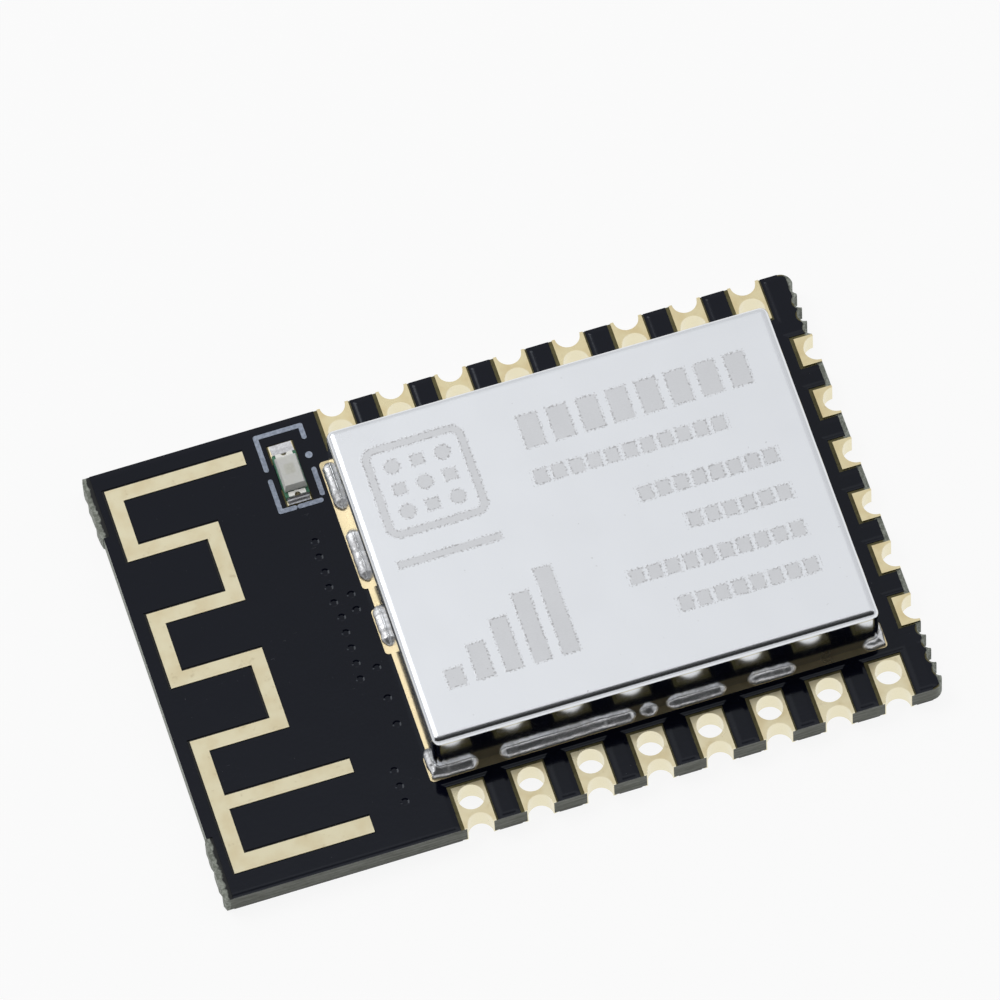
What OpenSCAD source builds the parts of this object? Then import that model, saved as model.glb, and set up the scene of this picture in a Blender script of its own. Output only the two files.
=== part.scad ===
// Surface-mount radio module: a thin glass-fibre board with a printed meander
// antenna, plated edge pads on three sides and a soldered shield can over its
// circuit. Millimetres, +Z up. The origin is the middle of the underside, and
// +X runs from the antenna end to the end pads.

/* [Board] */
// Length of the board that the can leaves free for the antenna
ant_zone = 7.55; // [7.2:0.05:9]
// Width of the board that the can leaves free along each row of pads
side_strip = 2; // [1.9:0.05:2.6]
// Thickness of the bare glass-fibre laminate
core_t = 0.7; // [0.5:0.05:1.6]
// Thickness of the plated copper on top
copper_t = 0.06; // [0.04:0.01:0.1]
// Thickness of the solder mask on top
mask_t = 0.03; // [0.02:0.005:0.04]
// Thickness of the copper and of the mask on the underside
back_t = 0.04; // [0.03:0.01:0.1]

/* [Solder mask] */
// Clearance of a mask opening round its copper
mask_gap = 0.05; // [0.05:0.01:0.08]
// Clearance of a mask opening round an edge pad
pad_gap = 0.09; // [0.06:0.01:0.12]
// How far the mask was printed off towards the back left
mask_off = 0.03; // [0:0.01:0.05]
// How far the mask stays back from the end pads' edge
mask_back = 0.16; // [0.1:0.02:0.3]
// How far the mask stays back from the break tabs at the antenna end
mask_tab = 0.2; // [0.16:0.02:0.4]
// How far the mask stays back from the torn perforations
mask_bite = 0.06; // [0.04:0.01:0.1]

/* [Edge pads] */
// Distance between neighbouring pads
pitch = 2; // [1.8:0.05:2.4]
// Pads in each side row
side_pads = 8; // [7:1:12]
// Pads in the end row
end_pads = 6; // [2:1:6]
// Can's antenna end to the first side pad's centre
pad_lead = 0.88; // [0.8:0.02:1.2]
// Last side pad's centre to the end edge
pad_inset = 1.57; // [1.5:0.01:1.8]
// Width of every pad
pad_w = 1.06; // [1:0.02:1.2]
// Length of a side pad, inwards from the edge
side_pad_l = 1.5; // [1.48:0.02:1.56]
// Length of an end pad, inwards from the edge
end_pad_l = 0.64; // [0.56:0.02:0.8]
// Diameter of the plated through-hole in a side pad
hole_d = 0.88; // [0.6:0.02:0.88]
// Through-hole centre to the board's edge
hole_in = 1.02; // [0.98:0.01:1.04]
// Diameter of the half-round notch in a side pad
notch_d = 0.84; // [0.6:0.02:0.86]
// Diameter of the half-round notch in an end pad
end_notch_d = 0.9; // [0.6:0.02:0.92]
// Thickness of the plating in holes and notches
plating_t = 0.03; // [0.02:0.005:0.04]

/* [Antenna] */
// Width of the meander's trace
trace_w = 0.5; // [0.3:0.02:0.6]
// Width of the lower feed arm
feed_w = 0.6; // [0.4:0.02:0.7]
// Trace to the board's antenna end
ant_edge = 0.5; // [0.4:0.05:0.7]
// Trace to the board's back edge
ant_back = 0.7; // [0.5:0.05:0.8]
// Outer width of the meander, along the board
meander_l = 3.18; // [2.6:0.02:3.4]
// Centre distance of the arms joined at the board's edge
turn_out = 2.2; // [2:0.05:2.25]
// Centre distance of the two arms in the meander's middle
turn_mid = 2.32; // [2.1:0.05:2.4]
// Centre distance of the arms joined on the inner side
turn_in = 2.51; // [2.3:0.05:2.6]
// Ends of the free arm and of both feed arms to the can
arm_to_can = 2.39; // [2.3:0.01:2.8]

/* [Shield can] */
// Width of the can's place on the board
site_w = 12; // [11.4:0.1:16]
// How much smaller the can is than its place
can_fit = 0.08; // [0:0.02:0.12]
// Height of the can above its land
can_h = 1.96; // [1.94:0.02:3]
// Thickness of the can's sheet
can_t = 0.2; // [0.1:0.02:0.2]
// Outer radius of the can's bends and corners
can_r = 0.26; // [0.24:0.02:0.5]
// Width of the seam left open at each folded corner
slit_w = 0.05; // [0.03:0.01:0.08]
// Can's place to the end pads' edge
can_end = 1.45; // [1.4:0.05:1.6]
// How far the can was placed off the middle of its place, towards the end pads
can_off_x = 0.06; // [0:0.01:0.08]
// How far the can was placed off the middle of its place, towards the back
can_off_y = 0.13; // [0:0.01:0.15]
// How far the can was turned on its place, in degrees
can_turn = -0.35; // [-0.4:0.05:0]
// Width of the land outside the can's place, along its sides
land_out = 0.1; // [0.1:0.01:0.18]
// Width of the land outside the can's place, where its ends are soldered
land_end = 0.17; // [0.14:0.01:0.2]
// Width of the land inside the edge of the can's place
land_in = 0.36; // [0.32:0.02:0.5]

/* [Solder] */
// Height of the can's solder seam above the land
seam_h = 0.34; // [0.2:0.02:0.5]
// Height of the solder on the status light's ends
bead_h = 0.26; // [0.15:0.01:0.3]

/* [Status light] */
// Length of the status light, across the board
led_l = 1.6; // [1.5:0.05:1.7]
// Width of the status light
led_w = 0.8; // [0.7:0.05:0.9]
// Thickness of the status light's carrier
led_base_t = 0.2; // [0.15:0.05:0.3]
// Height of the moulded lens on the carrier
led_lens_h = 0.3; // [0.2:0.05:0.4]
// Length of the moulded lens
led_lens_l = 1.2; // [1:0.05:1.25]
// Status light's centre line to the can
led_to_can = 1.16; // [1.1:0.02:1.2]
// Status light's lands to the board's back edge
led_back = 1.95; // [1.9:0.05:2.2]
// How far the status light was placed off its lands, towards the front
led_off = 0.15; // [0:0.01:0.15]
// Printed ink outline to the status light's sides
ink_side = 0.28; // [0.24:0.02:0.3]
// Printed ink outline to the status light's ends
ink_end = 0.46; // [0.42:0.02:0.5]
// Distance between the covered vias beside the can
via_pitch = 0.58; // [0.5:0.02:0.6]
// Width of the printed ink lines
ink_w = 0.16; // [0.12:0.01:0.18]
// Thickness of the printed ink
ink_t = 0.02; // [0.01:0.005:0.03]

/* [Break tabs] */
// Length of each corner's break tab along the end edges
tab_l = 2.3; // [1.5:0.1:2.3]
// How far the torn stubs stand out at the antenna end
stub_out = 0.12; // [0.05:0.01:0.2]
// Radius of the board's corners beside the end pads
corner_r = 0.4; // [0.2:0.05:0.45]
// Radius of the torn perforations at the end pads' edge
bite_r = 0.24; // [0.15:0.01:0.25]
// Distance between the torn perforations
bite_pitch = 0.52; // [0.5:0.02:0.6]

/* [Circuit] */
// Clearance of the circuit's parts inside the can's wall
part_gap = 0.5; // [0.4:0.05:0.6]
// Side of the square radio chip
radio_w = 5; // [4:0.5:5]
// Thickness of the radio chip
radio_t = 0.85; // [0.6:0.05:1]
// Distance between the radio chip's terminals
radio_pitch = 0.5; // [0.4:0.05:0.5]
// Length and width of the memory chip's body
flash_w = 5.25; // [4.5:0.05:5.4]
// Thickness of the memory chip's body
flash_t = 1.6; // [1.2:0.1:1.6]
// Memory chip's span over its leads
flash_span = 7.9; // [7.4:0.1:8]
// Distance between the memory chip's leads
flash_pitch = 1.27; // [1.1:0.01:1.27]
// Length of the crystal
crystal_l = 3.2; // [2.5:0.1:3.3]
// Width of the crystal
crystal_w = 2.5; // [2:0.1:2.6]
// Thickness of the crystal's ceramic base
crystal_t = 0.45; // [0.3:0.05:0.6]
// Length of the small chip parts
chip_l = 1; // [0.9:0.05:1.1]
// Width and height of the small chip parts
chip_w = 0.5; // [0.4:0.05:0.6]

/* [Hidden] */
$fn = 48;
eps = 0.01;
over = 1;                              // how far a cutter runs past what it cuts
board_t = back_t + core_t + copper_t;  // top of the lands
top_z = back_t + core_t;               // top of the bare laminate
mask_z = top_z + mask_t;               // top of the solder mask
// The rows of pads set the board's length, and the can fills what is left
board_l = ant_zone + pad_lead + (side_pads - 1) * pitch + pad_inset;
board_w = site_w + 2 * side_strip;
site_l = board_l - ant_zone - can_end;
xe = board_l / 2;
ye = board_w / 2;

// The can's place, and the can on it
site = [xe - can_end - site_l / 2, 0];
can_l = site_l - can_fit;
can_w = site_w - can_fit;

// Antenna arms, back to front, and the meander's two sides
arm_y = [for (i = 0, y = ye - ant_back - trace_w / 2; i < 7;
              y = y - [turn_out, turn_in, turn_mid, turn_in, turn_out, turn_out, 0][i],
              i = i + 1) y];
ant_x = -xe + ant_edge;
arm_l = ant_zone - ant_edge - arm_to_can;

// Status light, and the middle between its lands
led_x = site[0] - site_l / 2 - led_to_can;
land_y = ye - led_back;
led_y = land_y - led_off;
led_term = (led_l - led_lens_l) / 2;
led_land = [led_w, 0.62];
led_land_y = led_l / 2 + 0.02;         // land's centre from the light's centre
via_y = land_y - led_l / 2 - ink_end - 2.4 * via_pitch;

// Circuit under the can, from the middle of its place: the radio chip keeps to the
// antenna end, the memory chip to the other, and small parts fill what is left
in_x = can_l / 2 - can_t - part_gap;
in_y = can_w / 2 - can_t - part_gap;
radio_at = [radio_w / 2 - in_x, 0.9];
flash_at = [in_x - flash_w / 2, 0];
crystal_at = [radio_at[0], crystal_w / 2 - in_y];
mid_x = (radio_at[0] + radio_w / 2 + flash_at[0] - flash_w / 2) / 2;
row_y = in_y - chip_w / 2;
CHIPS = [[mid_x, row_y], [mid_x, radio_at[1]], [mid_x, -row_y], [radio_at[0] - chip_l, row_y],
         [radio_at[0] + chip_l, row_y], [flash_at[0] - chip_l, row_y], [flash_at[0] + chip_l, row_y]];

// Stretches of land at the can's ends: side, start and end across the board
END_LANDS = [[-1, 0.1, 0.5], [-1, -0.104, 0.036], [-1, -0.5, -0.42], [1, -0.5, -0.42]];

// Solder seams round the can: start and end along its outline, which runs from
// the middle of its antenna side towards the front, and each one's height share
function front(share) = can_w / 2 + can_l * share;
function left(share) = can_w * share;
SEAMS = [[left(0.425), front(0.097), 1], [front(0.143), front(0.45), 1.05],
         [front(0.457), front(0.5), 0.85], [front(0.517), front(0.653), 0.9],
         [front(0.7), front(0.81), 1], [front(0.959), front(1) + can_w * 0.07, 1.15],
         [left(-0.03), left(0.1), 0.7], [left(-0.275), left(-0.108), 1], [left(-0.49), left(-0.337), 1.1]];

// A number from -1 to 1 that looks random but is always the same
function rag(i, seed) = (sin(i * 137.5 + seed * 61) + sin(i * 71.3 + seed * 17)) / 2;

// ---------------------------------------------------------------- outlines

// Break tab, from the board's corner inwards along an end edge. A stub is torn
// off outside the edge.
function stub(side, seed) =
    let (steps = ceil(tab_l / 0.19))
    [for (i = [0 : steps])
        [-xe - stub_out * (i == 0 || i == steps ? 0.3 : 0.68 + 0.32 * rag(i, seed)),
         side * (ye - tab_l * i / steps)]];
// Corner beside the end pads: rounded, then torn along its perforations
module torn_corner_2d(seed, grow = 0) {
    translate([-corner_r, -corner_r]) difference() {
        square(corner_r + over);
        circle(corner_r - grow);
    }
    for (i = [0 : floor((tab_l - corner_r - bite_r) / bite_pitch)])
        translate([bite_r * (0.22 + 0.3 * rag(i, seed)), -corner_r - bite_r - i * bite_pitch])
            circle(bite_r + grow, $fn = 24);
}

// Board edge as cut, with its four torn tabs
module board_2d() {
    difference() {
        polygon(concat([[xe, -ye], [xe, ye]], stub(1, 2), [[-xe, ye - tab_l], [-xe, tab_l - ye]],
                       [for (i = [ceil(tab_l / 0.19) : -1 : 0]) stub(-1, 4)[i]]));
        for (s = [0, 1]) mirror([0, s]) translate([xe, ye]) torn_corner_2d(2 * s + 7);
    }
}

// Area that both masks cover before their openings are cut
module mask_area_2d() {
    difference() {
        translate([-xe, -ye]) square([board_l - mask_back, board_w]);
        for (s = [0, 1]) mirror([0, s]) {
            translate([-xe - over, ye - tab_l]) square([over + mask_tab, tab_l + over]);
            translate([xe, ye]) torn_corner_2d(2 * s + 7, mask_bite);
        }
    }
}

// Places its child at every side pad, with +Y inwards from the edge
module at_side(row, i) {
    x = xe - pad_inset - (side_pads - i) * pitch;
    translate([x, row * ye]) rotate(row > 0 ? 180 : 0) children();
}
module at_end(i) {
    translate([xe, ((end_pads + 1) / 2 - i) * pitch]) rotate(90) children();
}
module at_pads() {
    for (i = [1 : side_pads]) {
        at_side(-1, i) children(0);
        at_side(1, i) children(0);
    }
    for (i = [1 : end_pads]) at_end(i) children(1);
}

// Mask opening of a pad, run out over the board's edge
module pad_window(l) {
    translate([-pad_w / 2 - pad_gap, -over]) square([pad_w + 2 * pad_gap, l + over + pad_gap]);
}

module antenna_2d(grow = 0) {
    // arms: the free one and the feeds are long, the others span the meander
    for (i = [0 : 6])
        strip(ant_x, i == 0 || i > 4 ? arm_l : meander_l,
              arm_y[i] - (i == 6 ? feed_w : trace_w) / 2, i == 6 ? feed_w : trace_w, grow);
    // turns, by turns at the board's edge and on the inner side
    for (i = [0 : 5]) {
        inner = i == 1 || i == 3;
        strip(ant_x + (inner ? meander_l - trace_w : 0), trace_w,
              arm_y[i + 1], arm_y[i] - arm_y[i + 1], grow);
    }
}
module strip(x, l, y, w, grow) {
    translate([x - grow, y - grow]) square([l + 2 * grow, w + 2 * grow]);
}
module block_2d(l, w, grow) {
    square([l + 2 * grow, w + 2 * grow], center = true);
}

// Rectangle with round corners
module round_2d(l, w, r) {
    square([l, w - 2 * r], center = true);
    square([l - 2 * r, w], center = true);
    for (sx = [-1, 1], sy = [-1, 1])
        translate([sx * (l / 2 - r), sy * (w / 2 - r)]) circle(r);
}
// Land under the can's wall, wider where it is soldered
module can_land_2d() {
    w = site_w + 2 * land_out;
    translate(site) difference() {
        union() {
            round_2d(site_l, w, can_r);
            for (e = END_LANDS)
                translate([e[0] * (site_l + land_end - can_r) / 2, (e[1] + e[2]) / 2 * w])
                    round_2d(land_end + can_r, (e[2] - e[1]) * w, can_r / 2);
        }
        square([site_l - 2 * land_in, site_w - 2 * land_in], center = true);
    }
}

module light_lands_2d(grow = 0) {
    for (s = [-1, 1])
        translate([led_x, land_y + s * led_land_y]) block_2d(led_land[0], led_land[1], grow);
}

// Terminals of the circuit's parts, in plan
module radio_terminals_2d(grow = 0) {
    translate(site + radio_at) {
        block_2d(radio_w * 0.66, radio_w * 0.66, grow);
        for (q = [0 : 3], i = [0 : 7]) rotate(q * 90)
            translate([(i - 3.5) * radio_pitch, radio_w / 2 - 0.2])
                block_2d(radio_pitch * 0.5, 0.4, grow);
    }
}
module flash_feet_2d(grow) {
    translate(site + flash_at)
        for (s = [-1, 1], i = [0 : 3])
            translate([(i - 1.5) * flash_pitch, s * (flash_span / 2 - 0.3)])
                block_2d(0.42, 0.6, grow);
}
module crystal_lands_2d(grow) {
    translate(site + crystal_at)
        for (sx = [-1, 1], sy = [-1, 1])
            translate([sx * (crystal_l / 2 - 0.5), sy * (crystal_w / 2 - 0.4)])
                block_2d(1, 0.8, grow);
}
module chip_lands_2d(grow) {
    for (c = CHIPS) translate(site + c)
        for (s = [-1, 1]) translate([s * (chip_l / 2 - 0.1), 0])
            block_2d(0.44, chip_w + 0.1, grow);
}
module circuit_lands_2d(grow = 0) {
    radio_terminals_2d(grow);
    flash_feet_2d(grow);
    crystal_lands_2d(grow);
    chip_lands_2d(grow);
}

// ---------------------------------------------------------------- the board

module laminate() {
    color("darkseagreen")
    translate([0, 0, back_t]) difference() {
        linear_extrude(core_t) board_2d();
        at_pads() {
            union() {
                translate([0, hole_in, -over])
                    cylinder(d = hole_d + 2 * plating_t, h = core_t + 2 * over);
                translate([0, 0, -over])
                    cylinder(d = notch_d + 2 * plating_t, h = core_t + 2 * over);
            }
            translate([0, 0, -over])
                cylinder(d = end_notch_d + 2 * plating_t, h = core_t + 2 * over);
        }
    }
}

// Shallow dimple over a covered via
module dimple(x, y) {
    translate([x, y, mask_z - mask_t * 0.6])
        cylinder(r1 = 0.09, r2 = 0.17, h = mask_t * 0.6 + eps, $fn = 20);
}

module top_solder_mask() {
    color([0.13, 0.14, 0.18])
    difference() {
        translate([0, 0, top_z]) linear_extrude(mask_t) difference() {
            mask_area_2d();
            translate([-mask_off, mask_off]) {
                at_pads() { pad_window(side_pad_l); pad_window(end_pad_l); }
                antenna_2d(mask_gap);
            }
            can_land_2d();
            light_lands_2d(mask_gap);
            circuit_lands_2d(mask_gap);
        }
        // two columns of covered vias between the antenna and the can
        for (i = [0 : 9]) dimple(led_x + 0.1 * via_pitch * rag(i, 2), via_y - via_pitch * i);
        for (i = [0 : 2]) dimple(led_x, via_y - via_pitch * (15 + i));
        for (i = [0, 1, 4.8, 6.8, 8.5])
            dimple(led_x + led_to_can / 2, via_y - via_pitch * (3.8 + i));
    }
}

module bottom_solder_mask() {
    color([0.13, 0.14, 0.18])
    linear_extrude(back_t) difference() {
        mask_area_2d();
        at_pads() { pad_window(side_pad_l); pad_window(end_pad_l); }
    }
}

module antenna_trace() {
    color([0.82, 0.77, 0.64]) translate([0, 0, top_z]) linear_extrude(copper_t) antenna_2d();
}

// Edge pad: upper and lower land, joined by its plated notch and hole
module edge_pad(l, notch, hole) {
    color([0.85, 0.8, 0.66])
    difference() {
        union() {
            for (z = [0, top_z]) translate([-pad_w / 2, 0, z])
                cube([pad_w, l, z == 0 ? back_t : copper_t]);
            cylinder(d = notch + 2 * plating_t, h = board_t);
            if (hole > 0) translate([0, hole_in, 0])
                cylinder(d = hole + 2 * plating_t, h = board_t);
        }
        translate([0, 0, -over]) cylinder(d = notch, h = board_t + 2 * over);
        if (hole > 0) translate([0, hole_in, -over]) cylinder(d = hole, h = board_t + 2 * over);
        translate([-pad_w, -pad_w, -over]) cube([2 * pad_w, pad_w, board_t + 2 * over]);
    }
}

module board_print() {
    x = led_w / 2 + ink_side;
    y = led_l / 2 + ink_end;
    color([0.7, 0.73, 0.8])
    translate([led_x, land_y, mask_z]) linear_extrude(ink_t) {
        // outline beside and beyond the status light, in broken strokes
        ink([[-x, 0.27 * y], [-x, y + 0.7 * ink_end], [x + ink_w, y + 0.7 * ink_end],
             [x + ink_w, 0.9 * y]]);
        ink([[-x, -0.08 * y], [-x, -y], [-0.3 * x, -y]]);
        ink([[-0.05 * x, -y], [x, -y]]);
        ink([[x + ink_w * 0.7, -0.08 * y], [x + ink_w * 0.7, -0.82 * y]]);
        translate([x + ink_w * 0.7, 0.36 * y]) circle(d = ink_w * 1.5);
    }
}
// A pen stroke through points
module ink(path) {
    for (i = [0 : len(path) - 2]) {
        d = path[i + 1] - path[i];
        translate(path[i]) rotate(atan2(d[1], d[0])) {
            translate([0, -ink_w / 2]) square([norm(d), ink_w]);
            circle(d = ink_w);
        }
    }
    translate(path[len(path) - 1]) circle(d = ink_w);
}

module lands(z) {
    color([0.85, 0.8, 0.66]) translate([0, 0, top_z]) linear_extrude(copper_t) children();
}

// ---------------------------------------------------------------- shield can

// Box folded from sheet, with round bends along its top and down its corners
module bent_box(grow, h) {
    r = can_r + grow;
    x = can_l / 2 - can_r;
    y = can_w / 2 - can_r;
    linear_extrude(h - r) round_2d(can_l + 2 * grow, can_w + 2 * grow, r);
    translate([-x, -y, h - 2 * r]) cube([2 * x, 2 * y, 2 * r]);
    translate([0, 0, h - r]) {
        for (s = [-1, 1]) {
            translate([-x, s * y, 0]) rotate([0, 90, 0]) cylinder(r = r, h = 2 * x);
            translate([s * x, -y, 0]) rotate([-90, 0, 0]) cylinder(r = r, h = 2 * y);
            for (t = [-1, 1]) translate([s * x, t * y, 0]) sphere(r);
        }
    }
}

// Places its child where the can sits, from the middle of the can's foot
module at_can() {
    translate([site[0] + can_off_x, site[1] + can_off_y, board_t]) rotate(can_turn) children();
}

module shield_can() {
    color([0.8, 0.82, 0.83])
    at_can() difference() {
        bent_box(0, can_h);
        translate([0, 0, -eps]) bent_box(-can_t, can_h - can_t + eps);
        // open seams between the folded walls
        for (sx = [-1, 1], sy = [-1, 1])
            translate([sx * (can_l / 2 - can_r), sy * (can_w / 2 - can_r), seam_h * 1.3])
                rotate(atan2(sy, sx)) translate([0, -slit_w / 2, 0])
                    cube([can_r + over, slit_w, can_h - can_r - seam_h * 1.3]);
    }
}

// Point and outward direction at length s along the can's outline
function outline(s) =
    let (hl = can_l / 2, hw = can_w / 2, r = can_r,
         out = r * 1.012,   // corner chords stay clear of the round corner
         corner = function (cx, cy, a) [cx + out * cos(a), cy + out * sin(a), cos(a), sin(a)])
    s < -hw + r && s > -hw - r ? corner(-hl + r, hw - r, 180 - 45 * (1 - (s + hw) / r)) :
    s <= -hw - r ? [-hl - (s + hw), hw, 0, 1] :
    s < hw - r ? [-hl, -s, -1, 0] :
    s < hw + r ? corner(-hl + r, -hw + r, 225 + 45 * (s - hw) / r) :
    s < hw + can_l - r ? [-hl + (s - hw), -hw, 0, -1] :
    s < hw + can_l + r ? corner(hl - r, -hw + r, 315 + 45 * (s - hw - can_l) / r) :
    [hl, -hw + (s - hw - can_l), 1, 0];

// How far the land reaches out in front of a point of the outline
function reach(o) =
    let (c = cos(can_turn), s = sin(can_turn),
         x = c * o[0] - s * o[1] + can_off_x, y = s * o[0] + c * o[1] + can_off_y,
         nx = c * o[2] - s * o[3], ny = s * o[2] + c * o[3],
         dx = (site_l / 2 + land_end - abs(x)) / max(0.05, abs(nx)),
         dy = (site_w / 2 + land_out - abs(y)) / max(0.05, abs(ny)))
    max(0.04, min(dx, dy) * (1 - 0.3 * abs(nx * ny)));

// Solder seam: a bead swept along the outline, full over the land's edge, drawn up
// at the wall and thin at both ends
module solder_seam(s0, s1, share, seed) {
    n = ceil((s1 - s0) / (can_r * 0.28));
    prof = [[0, 0], [1, 0], [1, 0.12], [0.96, 0.28], [0.86, 0.44], [0.66, 0.59], [0.38, 0.71],
            [0.14, 0.84], [0, 1]];
    k = len(prof);
    pts = [for (i = [0 : n])
        let (s = s0 + (s1 - s0) * i / n,
             end = min(1, sqrt(max(0.02, min(i, n - i) * (s1 - s0) / n / 0.22))),
             o = outline(s),
             w = reach(o) * 0.95 * end * (0.93 + 0.07 * rag(i, seed)),
             h = seam_h * share * end * (0.82 + 0.18 * rag(i / 2, seed)))
        for (p = prof) [o[0] + o[2] * p[0] * w, o[1] + o[3] * p[0] * w, p[1] * h]];
    faces = concat(
        [[for (j = [0 : k - 1]) j]],
        [for (i = [0 : n - 1], j = [0 : k - 1]) each
            [[i * k + j, (i + 1) * k + j, i * k + (j + 1) % k],
             [(i + 1) * k + j, (i + 1) * k + (j + 1) % k, i * k + (j + 1) % k]]],
        [[for (j = [k - 1 : -1 : 0]) n * k + j]]);
    color([0.75, 0.76, 0.78]) at_can() polyhedron(pts, faces);
}

// ---------------------------------------------------------------- status light

module light_carrier() {
    color([0.35, 0.55, 0.45])
    translate([led_x, led_y, board_t]) difference() {
        translate([-led_w / 2, -led_l / 2]) cube([led_w, led_l, led_base_t]);
        for (s = [-1, 1]) translate([0, s * led_l / 2, -over])
            cylinder(d = led_w * 0.45, h = led_base_t + 2 * over);
    }
}
// Metal on one end of the carrier, down its half-round notch
module light_terminal(s) {
    color([0.86, 0.86, 0.84])
    translate([led_x, led_y, board_t]) difference() {
        union() {
            translate([0, s * (led_l / 2 - led_term / 2 + 0.02), led_base_t + 0.02])
                cube([led_w * 0.72, led_term - 0.04, 0.04], center = true);
            translate([0, s * led_l / 2, 0]) cylinder(d = led_w * 0.45, h = led_base_t + 0.04);
        }
        translate([0, s * led_l / 2, -over]) cylinder(d = led_w * 0.25, h = led_base_t + 2 * over);
        translate([-led_w, s > 0 ? led_l / 2 : -led_l / 2 - led_w, -over])
            cube([2 * led_w, led_w, led_base_t + 2 * over]);
    }
}
module light_lens() {
    l = led_lens_l;
    w = led_w - 0.06;
    color([0.86, 0.86, 0.84, 0.9])
    translate([led_x, led_y, board_t + led_base_t]) hull() {
        linear_extrude(led_lens_h * 0.4) square([w, l], center = true);
        linear_extrude(led_lens_h) square([w - 0.1, l - 0.14], center = true);
    }
}
// Solder run up one end of the light, and round its corner
module light_solder(s, reach) {
    y0 = led_l / 2;
    y1 = led_land_y + led_land[1] / 2 + s * led_off;
    color([0.78, 0.79, 0.8])
    translate([led_x, led_y, board_t]) mirror([0, s > 0 ? 0 : 1, 0]) rotate([90, 0, 90])
        translate([0, 0, -led_w * 0.46]) linear_extrude(led_w * 0.92)
            polygon([[y0, 0], [y1, 0], [y1 - 0.03, 0.05], [(y0 + y1) / 2, bead_h * 0.36],
                     [y0 + 0.06, bead_h * 0.7 * reach], [y0, bead_h * 0.85 * reach]]);
}

// ---------------------------------------------------------------- circuit

module radio_chip() {
    color([0.12, 0.12, 0.13])
    translate([site[0] + radio_at[0], site[1] + radio_at[1], board_t + 0.03])
        linear_extrude(radio_t) square(radio_w, center = true);
}
module radio_terminals() {
    color([0.8, 0.8, 0.8]) translate([0, 0, board_t]) linear_extrude(0.03) radio_terminals_2d();
}

module flash_chip() {
    c = 0.15;
    color([0.12, 0.12, 0.13])
    translate([site[0] + flash_at[0], site[1] + flash_at[1], board_t + 0.1])
    difference() {
        rotate([90, 0, 0]) translate([0, 0, -flash_w / 2]) linear_extrude(flash_w)
            polygon([[-flash_w / 2 + c, 0], [flash_w / 2 - c, 0], [flash_w / 2, flash_t / 2],
                     [flash_w / 2 - c, flash_t], [-flash_w / 2 + c, flash_t],
                     [-flash_w / 2, flash_t / 2]]);
        translate([-flash_w / 2 + 0.8, -flash_w / 2 + 0.8, flash_t - 0.06])
            cylinder(d = 0.6, h = 1);
    }
}
module flash_leads() {
    t = 0.15;
    a = flash_w / 2;
    b = flash_span / 2;
    h = 0.1 + flash_t / 2;
    color([0.75, 0.76, 0.76])
    translate([site[0] + flash_at[0], site[1] + flash_at[1], board_t])
        for (s = [0, 1], i = [0 : 3]) mirror([0, s, 0])
            translate([(i - 1.5) * flash_pitch - 0.2, 0]) rotate([90, 0, 90])
                linear_extrude(0.4)
                    polygon([[a, h], [a + 0.4, h], [b - 0.6, t], [b, t], [b, 0], [b - 0.68, 0],
                             [a + 0.28, h - t], [a, h - t]]);
}

module crystal_base() {
    color([0.85, 0.83, 0.76])
    translate([site[0] + crystal_at[0], site[1] + crystal_at[1], board_t])
        linear_extrude(crystal_t) square([crystal_l, crystal_w], center = true);
}
module crystal_lid() {
    color([0.8, 0.8, 0.78])
    translate([site[0] + crystal_at[0], site[1] + crystal_at[1], board_t + crystal_t])
        linear_extrude(0.2) square([crystal_l - 0.4, crystal_w - 0.4], center = true);
}

// Chip resistor or capacitor: a body with a wider metal cap on each end
module chip_part(i) {
    color([0.72, 0.6, 0.45])
    translate([site[0] + CHIPS[i - 1][0], site[1] + CHIPS[i - 1][1], board_t]) {
        translate([0, 0, 0.015 + (chip_w - 0.03) / 2])
            cube([chip_l - 0.1, chip_w - 0.03, chip_w - 0.03], center = true);
        for (s = [-1, 1]) translate([s * (chip_l / 2 - 0.12), 0, chip_w / 2])
            cube([0.24, chip_w, chip_w], center = true);
    }
}

// ---------------------------------------------------------------- nodes

laminate();
top_solder_mask();
bottom_solder_mask();
antenna_trace();
lands() can_land_2d();  // shield_land
shield_can();
lands() light_lands_2d();  // light_lands
lands() circuit_lands_2d();  // circuit_lands
board_print();
light_carrier();
light_terminal(1);  // light_terminal_back
light_terminal(-1);  // light_terminal_front
light_lens();
light_solder(1, 1);  // light_solder_back
light_solder(-1, 0.8);  // light_solder_front
radio_chip();
radio_terminals();
flash_chip();
flash_leads();
crystal_base();
crystal_lid();
for (i = [1 : len(CHIPS)])
    chip_part(i);
for (i = [1 : len(SEAMS)])
    solder_seam(SEAMS[i - 1][0], SEAMS[i - 1][1], SEAMS[i - 1][2], i);
for (i = [1 : side_pads]) {
    at_side(-1, i) edge_pad(side_pad_l, notch_d, hole_d);
    at_side(1, i) edge_pad(side_pad_l, notch_d, hole_d);
}
for (i = [1 : end_pads])
    at_end(i) edge_pad(end_pad_l, end_notch_d, 0);
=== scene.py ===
"""Looks, light and camera for a castellated radio module with a soldered shield can."""

import logging
import math
from dataclasses import dataclass, field
from enum import Enum
from typing import Sequence, Union

import bmesh
import bpy
from mathutils import Matrix, Vector, noise


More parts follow.
